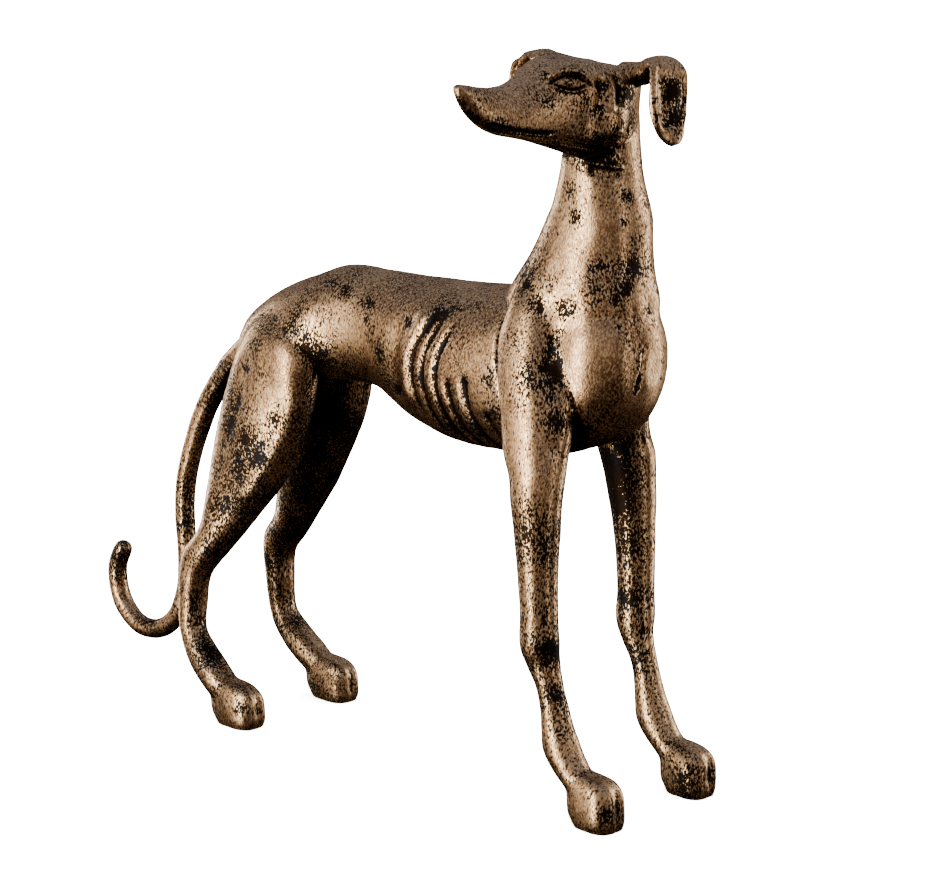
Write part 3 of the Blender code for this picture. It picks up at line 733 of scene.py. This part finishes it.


# Where the dark finish goes: patina in hollows and where the photograph shows it, and painted shade on faces
# turned down, where the figure hides itself and on the legs' inward faces; rubbed spots take it off where
# highlights fall

def reliefOf(mesh, rounds):  # mm below (-) or above (+) the skin as smoothed around each point
    points, normals = pointsOf(mesh), normalsOf(mesh)
    ends = np.empty(len(mesh.edges) * 2, np.int32)
    mesh.edges.foreach_get("vertices", ends)
    ends = ends.reshape(-1, 2)
    count = np.bincount(ends.ravel(), minlength=len(points))[:, None]
    smooth = points.copy()
    for _ in range(rounds):
        total = np.column_stack([
            np.bincount(ends[:, 0], smooth[ends[:, 1], k], len(points))
            + np.bincount(ends[:, 1], smooth[ends[:, 0], k], len(points))
            for k in range(3)
        ])
        smooth = 0.5 * smooth + 0.5 * total / count
    return ((points - smooth) * normals).sum(axis=1) * mmPerMetre


shelter = {                     # how hidden a place is by the rest of the figure
    "rays": 40,
    "reach": 0.25,              # in shares of the height
    "clearance": 0.0008,        # metres off the skin where each ray starts
    "neighbours": 6,            # the solid's faces that a point of the skin takes its share from
    "softening": 0.001,         # metres
}


def treeOf(mesh):
    return BVHTree.FromPolygons([v.co for v in mesh.vertices], [tuple(p.vertices) for p in mesh.polygons])


def shelterOf(solid, points, unit):  # the share of rays that the figure stops, from 0 in the open
    mesh, rays = solid.data, shelter["rays"]
    tree = treeOf(mesh)
    k = np.arange(rays) + 0.5
    height = np.sqrt(1 - k / rays)
    goldenAngle = math.pi * (3 - math.sqrt(5))
    around, flatOut = k * goldenAngle, np.sqrt(1 - height**2)
    dome = [Vector(d) for d in np.column_stack([flatOut * np.cos(around), flatOut * np.sin(around), height])]
    found = KDTree(len(mesh.polygons))
    shares = []
    for index, face in enumerate(mesh.polygons):
        turn = face.normal.to_track_quat("Z", "Y")
        start = face.center + face.normal * shelter["clearance"]
        hits = sum(tree.ray_cast(start, turn @ way, shelter["reach"] * unit)[0] is not None for way in dome)
        shares.append(hits / rays)
        found.insert(face.center, index)
    found.balance()
    values = []
    for point in points:
        nearby = found.find_n(point, shelter["neighbours"])
        weights = [1 / (distance + shelter["softening"]) for _, _, distance in nearby]
        values.append(sum(w * shares[i] for w, (_, i, _) in zip(weights, nearby)) / sum(weights))
    return np.array(values)


photoView = {                   # the photograph's camera, in shares of the height from the forms' origin
    "place": Vector((2.3736, -2.5022, 1.07)),
    "pitch": math.radians(80.0),
    "turn": math.radians(42.7),
    "focus": 2491.0,            # pixels
    "middle": (467.0, 435.0),
    "width": 934.0,
    "sensor": 36.0,             # mm
    "farthest": 500.0,          # metres
}

patinaAndPaintedShade = {
    "darkSpotsAndPaintedShade": {              # black left on, and painted shade: pixel across, pixel down, radius in pixels, strength
        # broad, thin darkening that is painted shade
        "broad painted shade": [
            (585, 112, 24, 0.10), (600, 135, 16, 0.10), (520, 112, 26, 0.03), (238, 420, 34, 0.11),
            (228, 385, 20, 0.12), (215, 500, 26, 0.08), (625, 540, 34, 0.12), (628, 600, 30, 0.12),
            (640, 660, 22, 0.12), (535, 550, 26, 0.06), (536, 600, 26, 0.06), (555, 730, 22, 0.06),
            (265, 320, 22, 0.09), (300, 330, 20, 0.06), (325, 318, 24, 0.06), (320, 470, 30, 0.10),
        ],
        "back and hip": [
            (345, 291, 11, 0.30), (368, 303, 9, 0.30), (366, 318, 7, 0.22), (330, 285, 8, 0.20),
            (385, 334, 7, 0.18), (380, 352, 9, 0.26), (311, 349, 16, 0.22), (318, 362, 10, 0.20),
            (294, 314, 8, 0.20), (288, 328, 8, 0.16), (255, 346, 12, 0.22), (262, 375, 12, 0.16),
            (245, 436, 14, 0.18), (256, 462, 12, 0.14), (238, 470, 12, 0.14),
        ],
        "ribs": [
            (435, 318, 7, 0.34), (445, 314, 7, 0.34), (454, 309, 6, 0.26), (428, 330, 6, 0.22),
            (487, 381, 10, 0.28), (475, 306, 10, 0.16), (498, 360, 8, 0.18), (494, 410, 12, 0.20),
            (479, 430, 10, 0.20), (455, 364, 7, 0.14),
        ],
        "neck": [
            (576, 217, 12, 0.28), (571, 190, 10, 0.26), (627, 197, 8, 0.30), (624, 222, 5, 0.30),
            (594, 264, 9, 0.18), (636, 268, 9, 0.16), (626, 290, 8, 0.30), (615, 300, 7, 0.26),
            (620, 326, 3, 0.34),
        ],
        "shoulder and breast": [
            (536, 306, 13, 0.26), (522, 290, 11, 0.20), (512, 340, 12, 0.20), (522, 372, 10, 0.16),
            (554, 372, 9, 0.30), (552, 385, 8, 0.26), (556, 424, 15, 0.30), (578, 430, 12, 0.24),
            (640, 352, 3, 0.42), (639, 366, 4, 0.46), (638, 380, 4, 0.46), (637, 392, 3, 0.40),
        ],
        # the nose's front and the neck below the ear carry painted shade
        "head": [
            (549, 103, 7, 0.24), (545, 74, 5, 0.26), (586, 100, 8, 0.22), (580, 130, 10, 0.16),
            (596, 112, 9, 0.24), (598, 88, 8, 0.26), (585, 158, 18, 0.24), (610, 160, 14, 0.20),
            (617, 130, 12, 0.20), (628, 96, 12, 0.24), (632, 122, 14, 0.22), (618, 92, 9, 0.22),
            (602, 118, 8, 0.20), (590, 68, 4, 0.20), (540, 66, 8, 0.14), (461, 104, 6, 0.30),
            (466, 113, 6, 0.30), (473, 119, 6, 0.24),
        ],
        "ear": [
            (672, 92, 14, 0.42), (676, 116, 12, 0.36), (678, 132, 8, 0.26), (656, 100, 5, 0.30),
            (657, 116, 5, 0.30),
        ],
        # the far legs' upper spots are painted shade
        "legs": [
            (524, 500, 9, 0.14), (545, 560, 9, 0.16), (543, 610, 9, 0.18), (330, 415, 26, 0.28),
            (318, 452, 16, 0.16), (610, 470, 16, 0.34), (620, 505, 14, 0.26), (548, 650, 10, 0.20),
            (552, 690, 10, 0.18), (196, 595, 9, 0.09), (190, 560, 9, 0.09), (300, 620, 12, 0.20),
        ],
        "paws": [
            (560, 735, 10, 0.16), (606, 812, 12, 0.22), (590, 795, 8, 0.16), (685, 780, 12, 0.24),
            (240, 708, 9, 0.22),
        ],
    },
    "rubbedSpotsAndPaintedHighlight": [            # bare and bright, smoothed by hands, set where highlights fall: partly painted highlight
        (605, 370, 42, 0.14), (598, 240, 22, 0.12), (640, 305, 14, 0.08), (560, 480, 10, 0.12),
        (556, 540, 9, 0.12), (285, 350, 16, 0.12), (280, 380, 14, 0.10), (400, 350, 16, 0.08),
        (470, 350, 16, 0.06), (520, 105, 14, 0.08), (600, 800, 12, 0.10), (565, 230, 12, 0.10),
        (560, 260, 12, 0.10), (350, 330, 14, 0.06),
    ],
    "twinAhead": 0.6,           # on the far side a spot lies this much further ahead, in its own radii
    "twinLower": 0.4,
    "ribSlits": 0.14,
    "slitWidth": 0.0042,
    "mouth": 0.34,
    "mouthWidth": 0.0032,
    "lineTaper": 0.1,
    "paintedShadeInsideLegs": 0.06,         # painted shade on the legs' inward faces
    "facingIn": (1.4, 0.2),     # how fast it grows as skin turns inward, and what is taken off
    "legsBelow": (0.50, 0.08),  # the height, and how gradually they start
    "legsOut": 0.03,            # further out than the tail
    "aboveSoles": 0.03,
    # Strength, where it starts and over how much it grows to full; the first two are painted shade, on faces
    # turned down and where the figure hides itself
    "paintedShadeUnder": (0.18, 0.30, 0.5),
    "paintedShadeSheltered": (0.12, 0.16, 0.3),
    "lowDown": (0.04, -0.52, 0.10),
    "hollows": [                # rounds of smoothing, strength, mm in a step, steps to the start, most steps
        (6, 0.12, 0.1, 0.0, 2.0),
        (40, 0.03, 0.5, 0.6, 1.5),
    ],
}


def photoAxes():
    turn, pitch = photoView["turn"], photoView["pitch"]
    across = Vector((math.cos(turn), math.sin(turn), 0))
    forward = Vector((-math.sin(turn) * math.sin(pitch), math.cos(turn) * math.sin(pitch), -math.cos(pitch)))
    return across, across.cross(forward), forward


def spotsOn(mesh, points, spots, unit, shift):  # they fall on the skin along the view, and on its far side
    across, up, forward = photoAxes()
    viewpoint = (photoView["place"] - shift) * unit
    tree = treeOf(mesh)
    middle = Vector(photoView["middle"])
    bodyPlane = -shift.y * unit
    amount = np.zeros(len(points))
    for x, y, radius, strength in spots:
        ray = (forward + (across * (x - middle.x) + up * (middle.y - y)) / photoView["focus"]).normalized()
        hit, _, _, distance = tree.ray_cast(viewpoint, ray)
        if hit is None:
            continue
        wide = radius * distance / photoView["focus"]
        twin = Vector((hit.x + patinaAndPaintedShade["twinAhead"] * wide, 2 * bodyPlane - hit.y,
                       hit.z - patinaAndPaintedShade["twinLower"] * wide))
        for centre in (hit, twin):
            gap = np.linalg.norm(points - np.array(centre), axis=1) / wide
            amount = np.maximum(amount, strength * np.exp(-gap**2))
    return amount


def darkLine(shares, normals, drawing, path, width, depths=anyDepth):
    close, _, distance, along, _ = closeTo(path, width, drawing, shares, normals, depths)
    amount = np.zeros(len(shares))
    amount[close] = np.exp(-(distance / width) ** 2) * towardsEnds(along, patinaAndPaintedShade["lineTaper"])
    return amount


def patinaAndPaintedShadeOf(mesh, solid, unit, shift):
    points, normals = pointsOf(mesh), normalsOf(mesh)
    shares = points / unit + np.array(shift)
    low, out = points[:, 2] / unit, points[:, 1] / unit + shift.y
    gain, taken = patinaAndPaintedShade["facingIn"]
    inward = np.clip(-np.sign(out) * normals[:, 1] * gain - taken, 0, 1)
    top, growth = patinaAndPaintedShade["legsBelow"]
    onLegs = rising(-low, -top, growth) * (np.abs(out) > patinaAndPaintedShade["legsOut"])
    # spots of patina and of painted shade, less the rubbed spots that stand for painted highlight
    amount = spotsOn(mesh, points, sum(patinaAndPaintedShade["darkSpotsAndPaintedShade"].values(), []), unit, shift)
    amount -= spotsOn(mesh, points, patinaAndPaintedShade["rubbedSpotsAndPaintedHighlight"], unit, shift)
    for hand in (right, left):
        for x, lower, upper, share in ribs["slits"]:
            line = darkLine(shares, normals, sideView(hand), rib(x, lower, upper), patinaAndPaintedShade["slitWidth"])
            amount += patinaAndPaintedShade["ribSlits"] * share * line
        line = darkLine(shares, normals, headSideView(hand), mouth, patinaAndPaintedShade["mouthWidth"], headPose["depths"])
        amount += patinaAndPaintedShade["mouth"] * line
    # painted shade: the legs' inward faces, faces turned down, and where the figure hides itself
    amount += patinaAndPaintedShade["paintedShadeInsideLegs"] * inward * onLegs
    downward = -normals[:, 2] * (low > patinaAndPaintedShade["aboveSoles"])
    for name, values in (("paintedShadeUnder", downward), ("paintedShadeSheltered", shelterOf(solid, points, unit)),
                         ("lowDown", -low)):
        strength, start, growth = patinaAndPaintedShade[name]
        amount += strength * rising(values, start, growth)
    for rounds, strength, step, start, most in patinaAndPaintedShade["hollows"]:
        amount += strength * np.clip(-reliefOf(mesh, rounds) / step - start, 0, most)
    return amount


def keepOn(mesh, name, values):
    kept = mesh.attributes.new(name, "FLOAT", "POINT")
    kept.data.foreach_set("value", np.ascontiguousarray(values, np.float32))


def castGreyhound(solid):
    low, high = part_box("greyhound")
    piece = fuse(allForms())
    print("forms joined:", len(piece.data.vertices), "points")
    soften(piece)
    carve(piece)
    unit = high.z / restoreHead(pointsOf(piece.data))[:, 2].max()
    roughen(piece, unit)
    print("carved and roughened")
    thin(piece)
    shares = restoreHead(pointsOf(piece.data))
    middle = (shares.min(axis=0) + shares.max(axis=0)) / 2
    shift = Vector((middle[0], middle[1], 0.0))
    placed = (shares - np.array(shift)) * unit
    room = np.array((high - low).xy)   # the solid's, a hair smaller because its facets cut the curves
    placed[:, :2] *= np.minimum(1, room / np.ptp(placed[:, :2], axis=0))
    movePoints(piece.data, placed)
    levelSoles(piece.data)
    keepOn(piece.data, "patinaAndPaintedShade", patinaAndPaintedShadeOf(piece.data, solid, unit, shift))
    piece.data.shade_smooth()
    piece.data.set_sharp_from_angle(angle=figure["sharpFrom"])
    print("greyhound:", len(piece.data.polygons), "faces")
    return piece, unit, shift


# Finishes

def linearOf(hexColour):
    values = [int(hexColour[i:i + 2], 16) / 255 for i in (1, 3, 5)]
    return tuple(v / 12.92 if v <= 0.04045 else ((v + 0.055) / 1.055) ** 2.4 for v in values) + (1.0,)


def addNode(tree, kind, inputs=None, **settings):  # each input is a value, or the socket that feeds it
    node = tree.nodes.new(kind)
    for name, value in settings.items():
        setattr(node, name, value)
    for socket, value in (inputs or {}).items():
        if isinstance(value, bpy.types.NodeSocket):
            tree.links.new(value, node.inputs[socket])
        else:
            node.inputs[socket].default_value = value
    return node


antiquedBrass = {
    "brightBrass": "#E5D0B0",   # rubbed high places
    "plainBrass": "#BB9E82",
    "redBrass": "#876852",      # where copper shows in the alloy
    "patinaAndPaintedShade": "#40342B",        # baked-on brown black, also the colour of the painted shade
    "coldPatina": "#38383C",    # the same where it is thin and bluish
    "markSize": 1.3,            # mm, dark pits left by sand and rasp
    "markStretch": 0.5,
    "markTilt": (18, -28, 0),   # degrees
    "swirlSize": 90,            # mm
    "swirlReach": 0.022,        # metres
    "gritSize": 1.1,            # mm
    "blotSize": 17,             # mm
    "zoneSize": 60,             # mm
    "pitDepth": 0.07,           # mm
    "gritDepth": 0.25,          # of the pits'
    "fewestMarks": 0.362,       # how much of the noise is dark where the metal is clean
    "patinaEdge": (-0.022, 0.045),  # how softly it gives way to metal
    "shine": (0.30, 0.44),      # roughness, from smooth to gritty
    "patinaDuller": 0.12,
}


def antiquedBrassMaterial():
    # Cast brass, blackened, then rubbed back by hand: the eye sees warm metal with black left in every pit.
    finish = antiquedBrass
    material = bpy.data.materials.new("antiquedBrass")
    material.use_nodes = True
    tree = material.node_tree
    tree.nodes.clear()
    place = addNode(tree, "ShaderNodeTexCoord").outputs["Object"]
    # the figure's own attribute: patina and painted shade, less painted highlight
    paintedShadeAndPatinaFac = addNode(tree, "ShaderNodeAttribute", attribute_name="patinaAndPaintedShade").outputs["Fac"]

    # Marks follow a slow swirl, as a rasp drawn along the body does
    swirl = addNode(tree, "ShaderNodeTexNoise", {
        "Vector": place, "Scale": mmPerMetre / finish["swirlSize"], "Detail": 1.0,
    }).outputs["Color"]
    pushed = addNode(tree, "ShaderNodeVectorMath", {0: swirl, 1: (finish["swirlReach"],) * 3},
                     operation="MULTIPLY").outputs[0]
    bent = addNode(tree, "ShaderNodeVectorMath", {0: place, 1: pushed}, operation="ADD").outputs[0]
    tilt = [math.radians(angle) for angle in finish["markTilt"]]
    stretch = (1, 1, finish["markStretch"])
    flow = addNode(tree, "ShaderNodeMapping", {"Vector": bent, "Rotation": tilt, "Scale": stretch}).outputs[0]
    marks, grit, zones, blots = [
        addNode(tree, "ShaderNodeTexNoise", {
            "Vector": along, "Scale": mmPerMetre / finish[size],
            "Detail": detail, "Roughness": roughness, "Distortion": distortion,
        }).outputs["Fac"]
        for along, size, detail, roughness, distortion in (
            (flow, "markSize", 1.5, 0.5, 0.4),
            (flow, "gritSize", 2.0, 0.5, 0.0),
            (place, "zoneSize", 2.0, 0.5, 0.0),
            (bent, "blotSize", 2.5, 0.6, 0.0),
        )
    ]

    soft = {}  # each noise eased from one range to another
    for use, source, fromLow, fromHigh, toLow, toHigh in (
        ("patinaInZones", zones, 0.44, 0.66, -0.02, 0.10),
        ("patinaInBlots", zones, 0.40, 0.60, 0.04, 0.12),
        ("blots", blots, 0.50, 0.70, 0.0, 1.0),
        ("cold", blots, 0.45, 0.70, 0.0, 1.0),
        ("red", zones, 0.35, 0.65, 0.0, 1.0),
        ("bright", marks, 0.40, 0.70, 0.0, 1.0),
        ("high", marks, 0.25, 0.65, 0.0, 1.0),
        ("rough", grit, 0.30, 0.70, *finish["shine"]),
    ):
        soft[use] = addNode(tree, "ShaderNodeMapRange", {
            "Value": source, "From Min": fromLow, "From Max": fromHigh, "To Min": toLow, "To Max": toHigh,
        }, interpolation_type="SMOOTHSTEP").outputs["Result"]

    # How much dark finish goes on: patina in slow zones, and patina and painted shade where the figure's
    # attribute says so
    inBlots = addNode(tree, "ShaderNodeMath", {0: soft["blots"], 1: soft["patinaInBlots"]},
                      operation="MULTIPLY").outputs[0]
    reach = finish["fewestMarks"]
    for more in (soft["patinaInZones"], inBlots, paintedShadeAndPatinaFac):
        reach = addNode(tree, "ShaderNodeMath", {0: reach, 1: more}, operation="ADD").outputs[0]
    covered = addNode(tree, "ShaderNodeMath", {0: reach, 1: marks}, operation="SUBTRACT").outputs[0]
    bareAt, blackAt = finish["patinaEdge"]
    speckle = addNode(tree, "ShaderNodeMapRange", {"Value": covered, "From Min": bareAt, "From Max": blackAt},
                      interpolation_type="SMOOTHSTEP").outputs["Result"]

    # A Mix node's colours go in at 6 and 7 and come out at 2
    plain, red, bright, black, cold = [
        linearOf(finish[name]) for name in ("plainBrass", "redBrass", "brightBrass", "patinaAndPaintedShade", "coldPatina")
    ]
    metal = addNode(tree, "ShaderNodeMix", {"Factor": soft["red"], 6: plain, 7: red}, data_type="RGBA")
    rubbed = addNode(tree, "ShaderNodeMix", {"Factor": soft["bright"], 6: metal.outputs[2], 7: bright},
                     data_type="RGBA")
    baked = addNode(tree, "ShaderNodeMix", {"Factor": soft["cold"], 6: black, 7: cold}, data_type="RGBA")
    colour = addNode(tree, "ShaderNodeMix", {"Factor": speckle, 6: rubbed.outputs[2], 7: baked.outputs[2]},
                     data_type="RGBA").outputs[2]

    duller = addNode(tree, "ShaderNodeMath", {0: speckle, 1: finish["patinaDuller"]}, operation="MULTIPLY")
    shine = addNode(tree, "ShaderNodeMath", {0: soft["rough"], 1: duller.outputs[0]}, operation="ADD")
    grain = addNode(tree, "ShaderNodeMath", {0: grit, 1: finish["gritDepth"]}, operation="MULTIPLY")
    height = addNode(tree, "ShaderNodeMath", {0: soft["high"], 1: grain.outputs[0]}, operation="ADD")
    bump = addNode(tree, "ShaderNodeBump", {
        "Height": height.outputs[0], "Strength": 1.0, "Distance": finish["pitDepth"] / mmPerMetre,
    })
    shader = addNode(tree, "ShaderNodeBsdfPrincipled", {
        "Base Color": colour, "Metallic": 1.0, "Roughness": shine.outputs[0], "Normal": bump.outputs[0],
    })
    addNode(tree, "ShaderNodeOutputMaterial", {"Surface": shader.outputs[0]})
    return material


# The stand-alone studio: floor, lights and camera

studio = {
    "floorRadius": 60.0,
    "floorColour": "#F4F3F1",
    "floorRoughness": 0.9,
    "backdrop": "#FFFFFF",      # what lights the floor evenly
    "backdropStrength": 10.0,
    "roomAbove": "#9A9AA0",     # what the metal mirrors of the dim studio: above, level and below
    "roomLevel": "#857468",
    "roomBelow": "#4A3A2E",
    "roomSteps": (0.36, 0.50, 0.85),  # where the three stand, from straight down at 0 to straight up at 1
    "roomStrength": 0.95,
    "aim": (0.05, 0.04, 0.32),  # what every light faces
    "lights": [                 # name, place in metres, width, height, watts, colour
        ("keyBox", (-0.45, -1.95, 0.22), 0.50, 1.9, 24, "#FFF6EA"),
        ("flankBox", (-1.55, -1.55, 0.20), 1.10, 1.6, 3.4, "#FFF2E4"),
        ("chestBox", (1.95, 0.05, 0.25), 0.40, 1.8, 2.8, "#FFF8F0"),
        ("frontBox", (1.70, -1.85, 0.25), 1.2, 1.8, 1.3, "#FFF4E8"),
        ("farBox", (1.10, 1.90, 0.5), 0.8, 2.0, 12.5, "#FFF8F0"),
        ("rumpBox", (-2.2, 0.1, 0.25), 0.5, 1.6, 11, "#FFF8F0"),
    ],
}


def floorMaterial():
    # Matt white card: an even pale surface with no gloss of its own
    material = bpy.data.materials.new("whiteCard")
    material.use_nodes = True
    shader = material.node_tree.nodes["Principled BSDF"]
    shader.inputs["Base Color"].default_value = linearOf(studio["floorColour"])
    shader.inputs["Roughness"].default_value = studio["floorRoughness"]
    return material


def addFloor():
    bpy.ops.mesh.primitive_circle_add(vertices=96, radius=studio["floorRadius"], fill_type="NGON")
    floor = bpy.context.object
    floor.name = "floor"
    floor.data.materials.append(floorMaterial())
    floor.visible_glossy = False
    floor.visible_shadow = False


def addRoom():  # white where it lights the floor, dim where the metal mirrors it
    room = bpy.data.worlds.new("studio")
    bpy.context.scene.world = room
    room.cycles.sampling_method = "NONE"
    room.use_nodes = True
    tree = room.node_tree
    tree.nodes.clear()
    way = addNode(tree, "ShaderNodeTexCoord").outputs["Generated"]
    up = addNode(tree, "ShaderNodeSeparateXYZ", {0: way}).outputs[2]
    share = addNode(tree, "ShaderNodeMapRange", {"Value": up, "From Min": -1.0, "From Max": 1.0}).outputs[0]
    tones = addNode(tree, "ShaderNodeValToRGB", {"Fac": share})
    steps = tones.color_ramp.elements
    below, level, above = studio["roomSteps"]
    steps[0].position, steps[0].color = below, linearOf(studio["roomBelow"])
    steps[1].position, steps[1].color = level, linearOf(studio["roomLevel"])
    steps.new(above).color = linearOf(studio["roomAbove"])
    mirrored = addNode(tree, "ShaderNodeBackground",
                       {"Color": tones.outputs[0], "Strength": studio["roomStrength"]})
    plain = addNode(tree, "ShaderNodeBackground",
                    {"Color": linearOf(studio["backdrop"]), "Strength": studio["backdropStrength"]})
    glossy = addNode(tree, "ShaderNodeLightPath").outputs["Is Glossy Ray"]
    both = addNode(tree, "ShaderNodeMixShader", {0: glossy, 1: plain.outputs[0], 2: mirrored.outputs[0]})
    addNode(tree, "ShaderNodeOutputWorld", {"Surface": both.outputs[0]})


def addLights():
    target = Vector(studio["aim"])
    for name, place, width, height, watts, colour in studio["lights"]:
        data = bpy.data.lights.new(name, "AREA")
        data.shape = "RECTANGLE"
        data.size, data.size_y = width, height
        data.energy = watts
        data.color = linearOf(colour)[:3]
        lamp = bpy.data.objects.new(name, data)
        lamp.location = place
        lamp.rotation_euler = (target - Vector(place)).to_track_quat("-Z", "Y").to_euler()
        lamp.visible_camera = False
        bpy.context.scene.collection.objects.link(lamp)


def addCamera(unit, shift):
    data = bpy.data.cameras.new("camera")
    data.sensor_width = photoView["sensor"]
    data.lens = photoView["focus"] / photoView["width"] * data.sensor_width
    data.clip_end = photoView["farthest"]
    camera = bpy.data.objects.new("camera", data)
    camera.location = (photoView["place"] - shift) * unit
    camera.rotation_euler = (photoView["pitch"], 0.0, photoView["turn"])
    bpy.context.scene.collection.objects.link(camera)
    bpy.context.scene.camera = camera


bpy.context.scene.view_settings.view_transform = "AgX"
bpy.context.scene.view_settings.look = "AgX - High Contrast"
greyhound, unit, shift = castGreyhound(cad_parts["greyhound"])
greyhound.data.materials.clear()
greyhound.data.materials.append(antiquedBrassMaterial())
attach(greyhound, "root")
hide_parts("greyhound")
addFloor()
addRoom()
addLights()
addCamera(unit, shift)
print("studio set")
